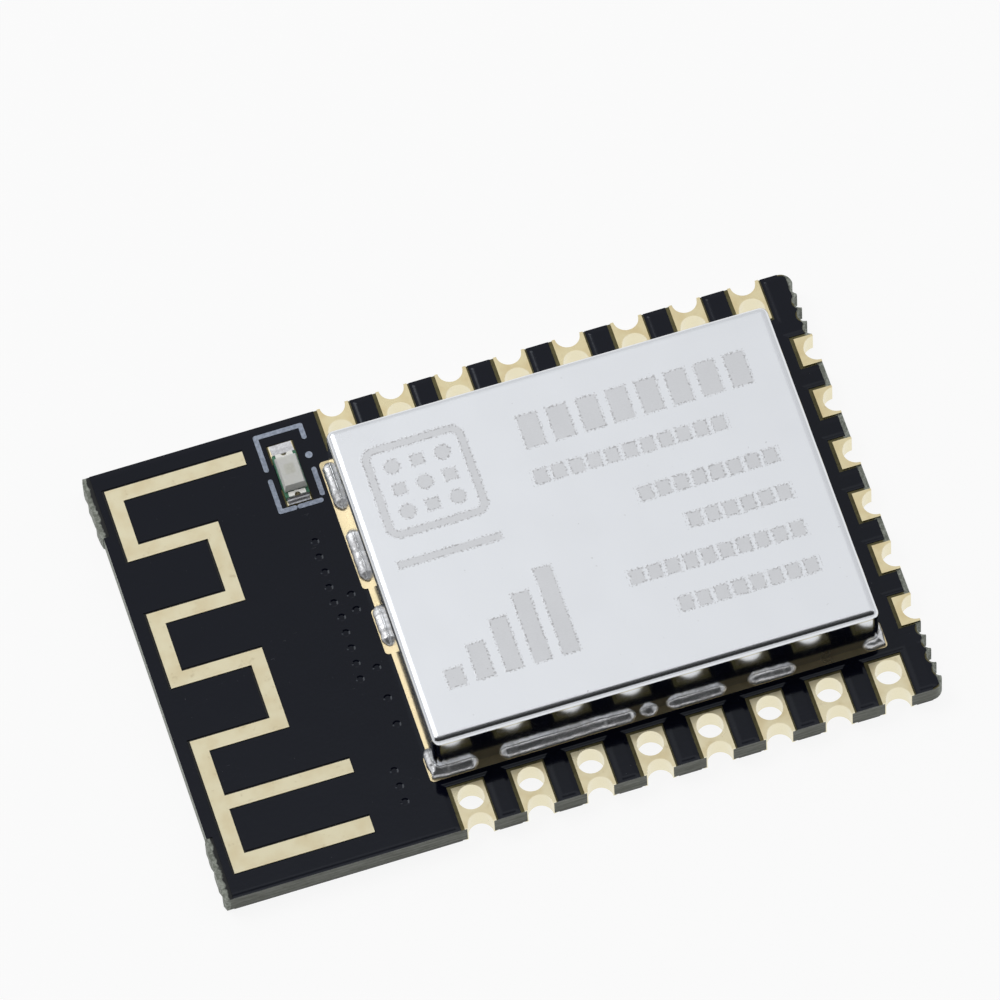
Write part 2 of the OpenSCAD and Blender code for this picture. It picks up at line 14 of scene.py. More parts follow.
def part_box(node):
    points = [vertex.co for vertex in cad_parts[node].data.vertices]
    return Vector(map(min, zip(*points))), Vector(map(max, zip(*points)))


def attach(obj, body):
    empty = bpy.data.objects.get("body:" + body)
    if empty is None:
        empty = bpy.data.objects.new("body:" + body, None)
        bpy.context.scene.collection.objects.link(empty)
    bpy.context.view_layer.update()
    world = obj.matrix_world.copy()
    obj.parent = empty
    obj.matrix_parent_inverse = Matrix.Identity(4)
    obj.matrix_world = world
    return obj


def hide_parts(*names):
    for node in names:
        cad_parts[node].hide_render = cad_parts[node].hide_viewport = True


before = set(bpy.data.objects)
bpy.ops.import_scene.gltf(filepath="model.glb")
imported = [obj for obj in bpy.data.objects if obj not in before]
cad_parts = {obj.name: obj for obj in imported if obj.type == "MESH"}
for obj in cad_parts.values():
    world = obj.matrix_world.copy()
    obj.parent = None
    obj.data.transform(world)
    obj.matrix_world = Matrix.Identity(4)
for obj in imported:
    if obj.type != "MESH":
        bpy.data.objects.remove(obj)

LOG = logging.getLogger("module")
MM = 0.001
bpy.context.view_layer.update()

Number = Union[int, float]
Colour = tuple[float, float, float]


# ------------------------------------------------------------------ shader building


class Sock:
    """A shader output that Python expressions can add, scale and compare."""

    def __init__(self, graph: "Graph", socket: bpy.types.NodeSocket) -> None:
        """Wraps one output socket.

        Args:
            graph: the material being built.
            socket: the output to wrap.
        """
        self.graph = graph
        self.socket = socket

    def out(self, name: str) -> "Sock":
        """Another output of the same node."""
        return Sock(self.graph, self.socket.node.outputs[name])

    def math(self, operation: str, *others: "Value", first: "Value | None" = None) -> "Sock":
        """Adds one Math node.

        Args:
            operation: the Math node's operation.
            others: the operands after this one.
            first: an operand that goes before this one, for reflected operators.

        Returns:
            The node's result.
        """
        operands = ([] if first is None else [first]) + [self, *others]
        return self.graph.add("ShaderNodeMath", {"operation": operation},
                              dict(enumerate(operands)))

    def __add__(self, other: "Value") -> "Sock":
        """Sum."""
        return self.math("ADD", other)

    __radd__ = __add__

    def __sub__(self, other: "Value") -> "Sock":
        """Difference."""
        return self.math("SUBTRACT", other)

    def __rsub__(self, other: "Value") -> "Sock":
        """Reflected difference."""
        return self.math("SUBTRACT", first=other)

    def __mul__(self, other: "Value") -> "Sock":
        """Product."""
        return self.math("MULTIPLY", other)

    __rmul__ = __mul__

    def __truediv__(self, other: "Value") -> "Sock":
        """Quotient."""
        return self.math("DIVIDE", other)

    def __rtruediv__(self, other: "Value") -> "Sock":
        """Reflected quotient."""
        return self.math("DIVIDE", first=other)

    def __neg__(self) -> "Sock":
        """Negative."""
        return self.math("MULTIPLY", -1.0)

    def __abs__(self) -> "Sock":
        """Absolute value."""
        return self.math("ABSOLUTE")

    def least(self, *others: "Value") -> "Sock":
        """The smallest of this and the others."""
        result = self
        for other in others:
            result = result.math("MINIMUM", other)
        return result

    def most(self, *others: "Value") -> "Sock":
        """The largest of this and the others."""
        result = self
        for other in others:
            result = result.math("MAXIMUM", other)
        return result

    def fract(self) -> "Sock":
        """The part after the decimal point."""
        return self.math("FRACT")

    def ramp(self, low: Number, high: Number, start: Number = 0.0, end: Number = 1.0) -> "Sock":
        """A smooth step.

        Args:
            low: where the step starts.
            high: where it ends.
            start: its value up to low.
            end: its value from high on.

        Returns:
            The stepped value.
        """
        return self.graph.add("ShaderNodeMapRange", {"interpolation_type": "SMOOTHSTEP"},
                              {"Value": self, "From Min": low, "From Max": high,
                               "To Min": start, "To Max": end})


Value = Union[int, float, Sock, Sequence[float]]


class Graph:
    """A material's or a world's nodes. Lengths in a material's maths are millimetres."""

    def __init__(self, name: str, world: bool = False) -> None:
        """Starts an empty material or world.

        Args:
            name: its name.
            world: whether it is a world.
        """
        self.owner = (bpy.data.worlds if world else bpy.data.materials).new(name)
        self.output = "ShaderNodeOutputWorld" if world else "ShaderNodeOutputMaterial"
        self.owner.use_nodes = True
        self.tree = self.owner.node_tree
        self.tree.nodes.clear()

    def add(self, kind: str, settings: dict | None = None,
            sockets: dict | None = None, out: str | int | None = None) -> Sock:
        """Adds a node.

        Args:
            kind: the node's type.
            settings: its own settings, set before its sockets.
            sockets: values or links by input name or index.
            out: the output wanted; the first enabled one if left out.

        Returns:
            The wanted output.
        """
        node = self.tree.nodes.new(kind)
        for key, value in (settings or {}).items():
            setattr(node, key, value)
        for key, value in (sockets or {}).items():
            target = node.inputs[key]
            if isinstance(value, Sock):
                self.tree.links.new(value.socket, target)
            elif hasattr(target, "default_value"):
                target.default_value = self._fitted(value, target)
        if out is None:
            return Sock(self, next(o for o in node.outputs if o.enabled))
        return Sock(self, node.outputs[out])

    @staticmethod
    def _fitted(value: Value, target: bpy.types.NodeSocket) -> Value:
        """A plain value in the length that its socket takes."""
        if isinstance(value, (int, float)):
            return value
        wanted = len(target.default_value)
        return (*value, 1.0)[:wanted] if len(value) < wanted else tuple(value)

    def millimetres(self) -> Sock:
        """The place on the object, in millimetres in the part's own frame."""
        place = self.add("ShaderNodeTexCoord", out="Object")
        return self.add("ShaderNodeVectorMath", {"operation": "SCALE"},
                        {0: place, "Scale": 1 / MM}, out="Vector")

    def split(self, vector: Sock) -> tuple[Sock, Sock, Sock]:
        """The three parts of a vector."""
        parts = self.add("ShaderNodeSeparateXYZ", None, {0: vector})
        return parts.out("X"), parts.out("Y"), parts.out("Z")

    def along(self, vector: Sock, direction: Sequence[float]) -> Sock:
        """How far a vector reaches in a fixed direction."""
        return self.add("ShaderNodeVectorMath", {"operation": "DOT_PRODUCT"},
                        {0: vector, 1: direction}, out="Value")

    def facing(self) -> tuple[Sock, Sock, Sock]:
        """The three parts of the surface's own normal."""
        return self.split(self.add("ShaderNodeNewGeometry", out="True Normal"))

    def grain(self, place: Sock, scale: Number, detail: Number = 2.0, rough: Number = 0.5) -> Sock:
        """Soft noise from 0 to 1.

        Args:
            place: where to look it up.
            scale: how many grains to a millimetre.
            detail: how many finer layers it has.
            rough: how strong the finer layers are.

        Returns:
            The noise.
        """
        return self.add("ShaderNodeTexNoise", None,
                        {"Vector": place, "Scale": scale, "Detail": detail, "Roughness": rough},
                        out="Fac")

    def stretched(self, place: Sock, x: Number, y: Number, z: Number) -> Sock:
        """A place scaled by its own factor along each axis."""
        return self.add("ShaderNodeVectorMath", {"operation": "MULTIPLY"},
                        {0: place, 1: (x, y, z)}, out="Vector")

    def mix(self, share: Value, first: Value, second: Value) -> Sock:
        """A blend of two colours.

        Args:
            share: how much of the second, 0 to 1.
            first: the colour at 0.
            second: the colour at 1.

        Returns:
            The blended colour.
        """
        return self.add("ShaderNodeMix", {"data_type": "RGBA"}, {0: share, 6: first, 7: second},
                        out=2)

    def bump(self, height: Sock, depth: Number, normal: Sock | None = None) -> Sock:
        """A relief.

        Args:
            height: the relief's height, 0 to 1.
            depth: how deep the full height is, in millimetres.
            normal: a relief that this one lies on.

        Returns:
            The bent normal.
        """
        sockets: dict = {"Strength": 1.0, "Distance": depth * MM, "Height": height}
        if normal is not None:
            sockets["Normal"] = normal
        return self.add("ShaderNodeBump", None, sockets)

    def surface(self, **inputs: Value) -> bpy.types.Material:
        """Closes the material with a Principled surface.

        Args:
            inputs: the shader's inputs, with _ for the spaces in their names.

        Returns:
            The finished material.
        """
        sockets = {self._title(key): value for key, value in inputs.items()}
        shader = self.add("ShaderNodeBsdfPrincipled", None, sockets)
        self.add_output(shader)
        return self.owner

    @staticmethod
    def _title(key: str) -> str:
        """A Python keyword argument as the socket's name."""
        return " ".join(w.upper() if w == "ior" else w.capitalize() for w in key.split("_"))

    def add_output(self, shader: Sock) -> None:
        """Links a shader to the output."""
        node = self.tree.nodes.new(self.output)
        self.tree.links.new(shader.socket, node.inputs["Surface"])


# ------------------------------------------------------------------ flat shapes in a shader


@dataclass(frozen=True)
class Plan:
    """Distances to flat shapes, in millimetres, seen from above. Under 0 is inside."""

    graph: Graph
    x: Sock
    y: Sock

    def block(self, centre: tuple[Number, Number], half: tuple[Number, Number],
              corner: Number = 0.0) -> Sock:
        """Distance to a rectangle with round corners.

        Args:
            centre: its middle.
            half: half its length and half its width.
            corner: its corner radius.

        Returns:
            The distance.
        """
        dx = abs(self.x - centre[0]) - (half[0] - corner)
        dy = abs(self.y - centre[1]) - (half[1] - corner)
        if not corner:
            return dx.most(dy)
        outside = (dx.most(0.0) * dx.most(0.0) + dy.most(0.0) * dy.most(0.0)).math("SQRT")
        return outside + dx.most(dy).least(0.0) - corner

    def disc(self, centre: tuple[Number, Number], radius: Number) -> Sock:
        """Distance to a disc."""
        dx, dy = self.x - centre[0], self.y - centre[1]
        return (dx * dx + dy * dy).math("SQRT") - radius

    def row(self, start: Number, end: Number, y: Number, height: Number, step: Number,
            fill: Number = 0.76) -> Sock:
        """Distance to a row of small plain blocks.

        Args:
            start: the row's left end.
            end: its right end.
            y: its middle line.
            height: the blocks' height.
            step: from one block to the next.
            fill: the share of the step that a block fills.

        Returns:
            The distance.
        """
        cell = ((self.x - start) / step).fract() - 0.5
        across = abs(cell) * step - fill * step / 2
        ends = abs(self.x - (start + end) / 2) - (end - start) / 2
        return across.most(abs(self.y - y) - height / 2, ends)


# ------------------------------------------------------------------ finishes


@dataclass(frozen=True)
class GoldFinish:
    """Thin gold over plated copper, satin, with faint stains, and upright faces such as the drilled
    walls painted paler as a highlight.
    """

    colour: Colour = (0.74, 0.67, 0.46)
    deep: Colour = (0.66, 0.56, 0.34)
    # painted highlight: the paler gold that upright faces are given
    wall: Colour = (0.88, 0.82, 0.60)
    roughness: float = 0.24

    def make(self, name: str) -> bpy.types.Material:
        """Builds the material under a name."""
        g = Graph(name)
        place = g.millimetres()
        _, _, up = g.facing()
        upright = abs(up).ramp(0.3, 0.6, 1.0, 0.0)
        cloud = g.grain(place, 1.3, 3)
        pits = g.grain(place, 22, 2)
        stain = g.grain(place, 4.5, 4).ramp(0.6, 0.75)
        colour = g.mix(cloud.ramp(0.35, 0.75), self.colour, self.deep)
        colour = g.mix(stain * 0.3, colour, (0.52, 0.43, 0.26))
        # painted highlight: upright faces, the drilled walls among them, are mixed towards the paler
        # wall colour
        colour = g.mix(upright * 0.85, colour, self.wall)
        rough = self.roughness + 0.1 * cloud + 0.1 * stain - 0.1 * upright
        return g.surface(base_color=colour, metallic=1.0, roughness=rough,
                         normal=g.bump(pits, 0.0009))


@dataclass(frozen=True)
class MaskFinish:
    """Dark, glossy solder mask with a soft relief that rises away from the edges of its pad openings.
    """

    pads: "PadRows"
    colour: Colour = (0.002, 0.0025, 0.008)
    dust: Colour = (0.10, 0.10, 0.11)
    roughness: float = 0.09
    gap: float = 0.09

    def make(self, name: str) -> bpy.types.Material:
        """Builds the material under a name."""
        g = Graph(name)
        place = g.millimetres()
        x, y, _ = g.split(place)
        plan = Plan(g, x, y)
        slope = self._meniscus(g, plan)
        swell = g.grain(place, 0.5, 1)
        orange = g.grain(place, 7, 2)
        speck = g.grain(place, 9, 2, 0.7).ramp(0.735, 0.77)
        scuff = (g.grain(g.stretched(place, 1.2, 7.0, 1.0), 1.4, 4, 0.75).ramp(0.67, 0.72)
                 * g.grain(place, 0.35, 1).ramp(0.5, 0.62))
        relief = g.bump(swell, 0.006)
        relief = g.bump(orange, 0.0009, relief)
        relief = g.bump(slope, 0.022, relief)
        colour = g.mix((speck * 0.55 + scuff * 0.35).least(1.0), self.colour, self.dust)
        return g.surface(base_color=colour, roughness=self.roughness + 0.25 * scuff + 0.2 * speck,
                         normal=relief, specular_ior_level=0.26,
                         specular_tint=(0.86, 0.92, 1.0))

    def _meniscus(self, g: Graph, plan: Plan) -> Sock:
        """How far the mask has risen from the edges of its openings, 0 to 1.

        Args:
            g: the material's graph.
            plan: the place seen from above.

        Returns:
            0 at an opening's edge, 1 on the flat mask.
        """
        p = self.pads
        along = abs(((plan.x - p.last_x) / p.pitch + 0.5).fract() - 0.5) * p.pitch
        to_row = p.half_width - abs(plan.y)
        beside = (along - p.pad_half).most(to_row - p.side_length)
        beyond = (p.first_x - p.pad_half - plan.x).most(0.0)
        edge = to_row
        rows = beside.most(beyond)
        across = abs((plan.y / p.pitch).fract() - 0.5) * p.pitch
        end = (across - p.pad_half).most(p.half_length - plan.x - p.end_length,
                                         abs(plan.y) - p.end_reach)
        first, last = self.gap, self.gap + 0.2
        return rows.ramp(first, last) * end.ramp(first, last) * edge.ramp(0.0, 0.2)


@dataclass(frozen=True)
class LaminateFinish:
    """Cut glass-fibre laminate: layered grey edges, paler where torn, an olive face that is painted
    near black as shade on the antenna side.
    """

    torn_low: float
    torn_high: float
    antenna_end: float
    edge: Colour = (0.105, 0.110, 0.088)
    pale: Colour = (0.24, 0.25, 0.22)
    torn: Colour = (0.46, 0.49, 0.43)
    olive: Colour = (0.115, 0.10, 0.032)
    # painted shade: near black for the laminate face on the antenna side
    antenna_side_shade: Colour = (0.010, 0.011, 0.012)

    def make(self, name: str) -> bpy.types.Material:
        """Builds the material under a name."""
        g = Graph(name)
        place = g.millimetres()
        _, _, up = g.facing()
        x, _, z = g.split(place)
        layers = g.grain(g.stretched(place, 0.7, 0.7, 14), 1.0, 3, 0.6)
        bundles = g.grain(g.stretched(place, 3.2, 3.2, 7), 1.0, 3, 0.65)
        dark_line = abs((z / 0.17).fract() - 0.5).ramp(0.0, 0.14, 1.0, 0.0)
        side = g.mix((layers * 0.6 + bundles * 0.5).ramp(0.35, 0.72), self.edge, self.pale)
        side = g.mix(dark_line * bundles.ramp(0.3, 0.7) * 0.55, side, (0.055, 0.058, 0.045))
        weave = g.grain(g.stretched(place, 2.2, 2.2, 1), 2.0, 2)
        top = g.mix(weave.ramp(0.3, 0.7), self.olive, (0.155, 0.135, 0.05))
        # painted shade: left of the antenna's right end the face turns near black
        top = g.mix(x.ramp(self.antenna_end, self.antenna_end + 0.05, 1.0, 0.0), top, self.antenna_side_shade)
        colour = g.mix(up.ramp(0.4, 0.7), side, top)
        ragged = (g.grain(place, 5.0, 3) - 0.5) * 0.25
        torn = ((x + ragged).ramp(self.torn_low - 0.03, self.torn_low + 0.03, 1.0, 0.0)
                .most((x + ragged).ramp(self.torn_high - 0.03, self.torn_high + 0.03)))
        white = g.mix(g.grain(place, 9, 3, 0.7).ramp(0.4, 0.7), (0.20, 0.215, 0.18), self.torn)
        colour = g.mix(torn, colour, white)
        return g.surface(base_color=colour, roughness=0.55 + 0.15 * bundles,
                         normal=g.bump(bundles, 0.012), specular_ior_level=0.4)


@dataclass(frozen=True)
class SheetFinish:
    """Bright nickel-silver sheet with shallow laser marks: bars, blocks, dots and a frame."""

    centre: tuple[float, float]
    top: float
    colour: Colour = (0.78, 0.80, 0.83)
    mark: Colour = (0.66, 0.665, 0.68)
    burn: Colour = (0.34, 0.33, 0.33)
    roughness: float = 0.13

    def make(self, name: str) -> bpy.types.Material:
        """Builds the material under a name."""
        g = Graph(name)
        place = g.millimetres()
        x, y, z = g.split(place)
        flat = z.ramp(self.top - 0.05, self.top - 0.02)
        plan = Plan(g, x - self.centre[0], y - self.centre[1])
        distance = self._marks(plan)
        inside = distance.ramp(-0.03, 0.03, 1.0, 0.0) * flat
        dots = g.grain(place, 13, 1).ramp(0.5, 0.62)
        rim = abs(distance).ramp(0.02, 0.075, 1.0, 0.0) * dots * flat
        hatch = g.grain(g.stretched(place, 9, 26, 1), 1.0, 2)
        grain = g.grain(g.stretched(place, 16, 22, 20), 1.0, 3, 0.6)
        haze = g.grain(place, 0.6, 3)
        specks = g.grain(place, 5.5, 2, 0.6).ramp(0.74, 0.79) * flat
        colour = g.mix(inside * (0.55 + 0.35 * hatch), self.colour, self.mark)
        colour = g.mix((rim * 0.5 + specks * 0.4).least(1.0), colour, self.burn)
        rough = (self.roughness + 0.10 * flat * haze + 0.22 * inside + 0.1 * rim
                 + 0.12 * flat)
        relief = g.bump(grain, 0.0007)
        relief = g.bump(g.grain(place, 0.45, 1), 0.010, relief)
        relief = g.bump(inside * hatch + rim, 0.0016, relief)
        return g.surface(base_color=colour, metallic=1.0, roughness=rough, normal=relief)

    @staticmethod
    def _marks(plan: Plan) -> Sock:
        """Distance to the nearest laser mark.

        Args:
            plan: the place from the middle of the can.

        Returns:
            The distance.
        """
        frame_outer = plan.block((-4.9, 3.2), (1.75, 1.75), 0.5)
        marks = abs(frame_outer + 0.16) - 0.14
        for column in range(3):
            for line in range(3):
                centre = (-5.75 + 0.85 * column, 2.35 + 0.85 * line)
                if (column + line) % 2 == 0:
                    marks = marks.least(plan.disc(centre, 0.27))
                else:
                    marks = marks.least(plan.block(centre, (0.22, 0.22)))
        marks = marks.least(plan.row(-1.6, 6.4, 3.9, 1.25, 1.0, 0.7))
        marks = marks.least(plan.row(-1.6, 5.0, 2.2, 0.55, 0.6))
        marks = marks.least(plan.block((-4.9, 0.55), (1.75, 0.14)))
        marks = marks.least(plan.row(1.4, 6.2, 0.55, 0.55, 0.6))
        marks = marks.least(plan.row(2.6, 6.2, -0.85, 0.55, 0.6))
        marks = marks.least(plan.row(0.2, 6.2, -2.25, 0.55, 0.6))
        marks = marks.least(plan.row(1.4, 6.2, -3.65, 0.55, 0.6))
        for step in range(5):
            height = 0.35 + 0.32 * step
            marks = marks.least(plan.block((-6.1 + 0.95 * step, -4.2 + height), (0.3, height)))
        return marks


@dataclass(frozen=True)
class SolderFinish:
    """Solidified solder: bright, with a frosted grain where it cooled slowly."""

    colour: Colour = (0.82, 0.83, 0.85)
    dull: Colour = (0.56, 0.56, 0.57)

    def make(self, name: str) -> bpy.types.Material:
        """Builds the material under a name."""
        g = Graph(name)
        place = g.millimetres()
        _, _, z = g.split(place)
        frost = g.grain(place, 11, 4, 0.7)
        patch = g.grain(place, 1.6, 2)
        dull = (frost * 0.6 + patch * 0.5).ramp(0.45, 0.7)
        colour = g.mix(dull, self.colour, self.dull)
        relief = g.bump(frost, 0.006)
        relief = g.bump(g.grain(place, 3.2, 2), 0.02, relief)
        return g.surface(base_color=colour, metallic=1.0, roughness=0.30 + 0.2 * dull,
                         normal=relief)


@dataclass(frozen=True)
class MetalFinish:
    """Plated or tinned metal on small parts."""

    colour: Colour
    roughness: float = 0.3

    def make(self, name: str) -> bpy.types.Material:
        """Builds the material under a name."""
        g = Graph(name)
        place = g.millimetres()
        cloud = g.grain(place, 3.0, 3)
        dark = tuple(0.8 * c for c in self.colour)
        return g.surface(base_color=g.mix(cloud, self.colour, dark), metallic=1.0,
                         roughness=self.roughness + 0.15 * cloud,
                         normal=g.bump(g.grain(place, 15, 2), 0.002))


@dataclass(frozen=True)
class MouldedFinish:
    """Moulded or fired body of a small part."""

    colour: Colour
    roughness: float = 0.5
    grain: float = 12.0

    def make(self, name: str) -> bpy.types.Material:
        """Builds the material under a name."""
        g = Graph(name)
        place = g.millimetres()
        cloud = g.grain(place, 2.0, 3)
        pits = g.grain(place, self.grain, 3)
        pale = tuple(min(1.0, 1.25 * c + 0.004) for c in self.colour)
        return g.surface(base_color=g.mix(cloud, self.colour, pale),
                         roughness=self.roughness + 0.15 * pits,
                         normal=g.bump(pits, 0.004))


@dataclass(frozen=True)
class LensFinish:
    """Milky moulded resin with a darker die under it."""

    centre: tuple[float, float]
    colour: Colour = (0.80, 0.80, 0.76)
    die: Colour = (0.62, 0.62, 0.52)

    def make(self, name: str) -> bpy.types.Material:
        """Builds the material under a name."""
        g = Graph(name)
        place = g.millimetres()
        x, y, _ = g.split(place)
        plan = Plan(g, x - self.centre[0], y - self.centre[1])
        die = plan.block((0.0, 0.05), (0.14, 0.16), 0.03).ramp(-0.03, 0.08, 1.0, 0.0)
        cloud = g.grain(place, 3.0, 2)
        colour = g.mix(cloud * 0.5, self.colour, (0.72, 0.73, 0.68))
        colour = g.mix(die * 0.6, colour, self.die)
        return g.surface(base_color=colour, roughness=0.22 + 0.1 * cloud,
                         normal=g.bump(g.grain(place, 4, 2), 0.006),
                         subsurface_weight=0.25, subsurface_radius=(0.3, 0.3, 0.25),
                         subsurface_scale=0.0004)


@dataclass(frozen=True)
class InkFinish:
    """Printed ink, thinner in patches."""

    colour: Colour = (0.46, 0.52, 0.64)

    def make(self, name: str) -> bpy.types.Material:
        """Builds the material under a name."""
        g = Graph(name)
        place = g.millimetres()
        thin = g.grain(place, 9, 3).ramp(0.35, 0.65)
        return g.surface(base_color=g.mix(thin, (0.30, 0.35, 0.45), self.colour),
                         roughness=0.55 + 0.1 * thin, normal=g.bump(thin, 0.003))


# ------------------------------------------------------------------ mesh building


def new_piece(name: str, mesh: bmesh.types.BMesh, material: bpy.types.Material,
              replaces: Sequence[str] = ()) -> bpy.types.Object:
    """Makes an object that rides on the board.

    Args:
        name: the piece's name.
        mesh: its mesh in metres, freed here.
        material: its finish.
        replaces: the solids it stands for.

    Returns:
        The new object.
    """
    bmesh.ops.recalc_face_normals(mesh, faces=mesh.faces)
    data = bpy.data.meshes.new(name)
    mesh.to_mesh(data)
    mesh.free()
    for polygon in data.polygons:
        polygon.use_smooth = True
    data.materials.append(material)
    piece = bpy.data.objects.new(name, data)
    bpy.context.scene.collection.objects.link(piece)
    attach(piece, "root")
    if replaces:
        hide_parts(*replaces)
    LOG.info("piece %s: %d faces", name, len(data.polygons))
    return piece


def dress(node: str, material: bpy.types.Material) -> None:
    """Gives a solid its finish.

    Args:
        node: the solid's name.
        material: its finish.
    """
    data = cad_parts[node].data
    data.materials.clear()
    data.materials.append(material)
    LOG.info("dressed %s", node)


def sweep(mesh: bmesh.types.BMesh, rings: Sequence[Sequence[Vector]]) -> None:
    """Joins closed rings of points into a solid with two end faces.

    Args:
        mesh: the mesh that takes it.
        rings: the rings, each with the same number of points.
    """
    rows = [[mesh.verts.new(point) for point in ring] for ring in rings]
    count = len(rows[0])
    for first, second in zip(rows, rows[1:]):
        for i in range(count):
            j = (i + 1) % count
            mesh.faces.new((first[i], first[j], second[j], second[i]))
    mesh.faces.new(rows[0])
    mesh.faces.new(list(reversed(rows[-1])))


# ------------------------------------------------------------------ sub-assemblies


@dataclass
class PadRows:
    """Plated pads along three edges, measured from their solids, in millimetres."""

    side_count: int = 8
    end_count: int = 6
    pitch: float = field(init=False)
    first_x: float = field(init=False)
    last_x: float = field(init=False)
    pad_half: float = field(init=False)
    side_length: float = field(init=False)
    end_length: float = field(init=False)
    half_width: float = field(init=False)
    half_length: float = field(init=False)
    end_reach: float = field(init=False)

    def __post_init__(self) -> None:
        """Reads the rows' sizes from the frame."""
        low, high = (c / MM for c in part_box("front_pad_1"))
        last = [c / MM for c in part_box(f"front_pad_{self.side_count}")]
        end = [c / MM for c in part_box("end_pad_1")]
        self.first_x = (low.x + high.x) / 2
        self.last_x = (last[0].x + last[1].x) / 2
        self.pitch = (self.last_x - self.first_x) / (self.side_count - 1)
        self.pad_half = (high.x - low.x) / 2
        self.side_length = high.y - low.y
        self.half_width = -low.y
        self.end_length = end[1].x - end[0].x
        self.half_length = end[1].x
        self.end_reach = end[1].y

    def build(self) -> None:
        """Dresses every pad."""
        gold = GoldFinish().make("gold_pads")
        warm = GoldFinish(colour=(0.76, 0.67, 0.42), deep=(0.68, 0.56, 0.32)).make("gold_back")
        for i in range(1, self.side_count + 1):
            dress(f"front_pad_{i}", gold)
            dress(f"back_pad_{i}", warm)
        for i in range(1, self.end_count + 1):
            dress(f"end_pad_{i}", warm)


class Edge(Enum):
    """The two torn edges of the board."""

    ANTENNA = -1
    PADS = 1


@dataclass
class Board:
    """Laminate, masks, printed outline and the fibres of the torn tabs."""

    pads: PadRows
    tab_length: float = 2.3
    fibres: int = 150

    def build(self) -> None:
        """Dresses the board and frays its four tabs."""
        low, high = (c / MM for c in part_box("laminate"))
        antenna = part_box("antenna_trace")[1].x / MM
        dress("laminate", LaminateFinish(low.x + 0.2, high.x - 0.2, antenna).make("laminate_cut"))
        mask = MaskFinish(self.pads).make("solder_mask")
        dress("top_solder_mask", mask)
        dress("bottom_solder_mask", mask)
        dress("board_print", InkFinish().make("print_ink"))
        fibre = MouldedFinish((0.50, 0.51, 0.46), 0.4, 20.0).make("glass_fibre")
        for edge in Edge:
            for side, word in ((1, "back"), (-1, "front")):
                self._fray(edge, side, f"fibres_{edge.name.lower()}_{word}", fibre)

    def _fray(self, edge: Edge, side: int, name: str, material: bpy.types.Material) -> None:
        """Adds the short glass fibres that stand out of one torn tab.

        Args:
            edge: which end of the board.
            side: 1 for the back corner, -1 for the front one.
            name: the piece's name.
            material: its finish.
        """
        low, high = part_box("laminate")
        mesh = bmesh.new()
        x_edge = (low.x + 0.00011) if edge is Edge.ANTENNA else (high.x - 0.0002)
        for i in range(self.fibres):
            seed = Vector((i * 0.73, edge.value * 3.1, side * 7.7))
            roll = noise.noise_vector(seed)
            share = (i + 0.5 + roll.x) / self.fibres
            y = side * (high.y - 0.00003 - share * self.tab_length * MM)
            z = low.z + (0.08 + 0.84 * ((i * 0.618) % 1.0)) * (high.z - low.z)
            inward = -edge.value * (0.00006 + 0.00006 * abs(roll.y))
            if edge is Edge.PADS:
                inward -= 0.00010 * (0.5 + 0.5 * math.cos(2 * math.pi * share * 4.4 + 0.9))
            length = (0.07 + 0.08 * abs(roll.z)) * MM
            start = Vector((x_edge + inward, y, z))
            tip = start + Vector((edge.value * length, roll.y * length * 0.9,
                                  roll.x * length * 0.5))
            self._fibre(mesh, start, tip, 0.009 * MM)
        new_piece(name, mesh, material)

    @staticmethod
    def _fibre(mesh: bmesh.types.BMesh, start: Vector, tip: Vector, radius: float) -> None:
        """Adds one fibre bundle: a thin four-sided spike with a blunt end.

        Args:
            mesh: the mesh that takes it.
            start: its root.
            tip: its free end.
            radius: its radius at the root.
        """
        along = (tip - start).normalized()
        side = along.orthogonal().normalized()
        other = along.cross(side)
        rings = []
        for share, width in ((0.0, 1.0), (0.6, 0.9), (1.0, 0.3)):
            middle = start.lerp(tip, share)
            rings.append([middle + radius * width * (math.cos(a) * side + math.sin(a) * other)
                          for a in (0, math.pi / 2, math.pi, 3 * math.pi / 2)])
        sweep(mesh, rings)


@dataclass
class Antenna:
    """The printed meander."""

    def build(self) -> None:
        """Dresses the trace."""
        finish = GoldFinish(colour=(0.72, 0.665, 0.475), deep=(0.68, 0.60, 0.40), roughness=0.42)
        dress("antenna_trace", finish.make("gold_trace"))


@dataclass
class Seam:
    """One stretch of solder along the can's foot."""

    start: float
    end: float
    height: float


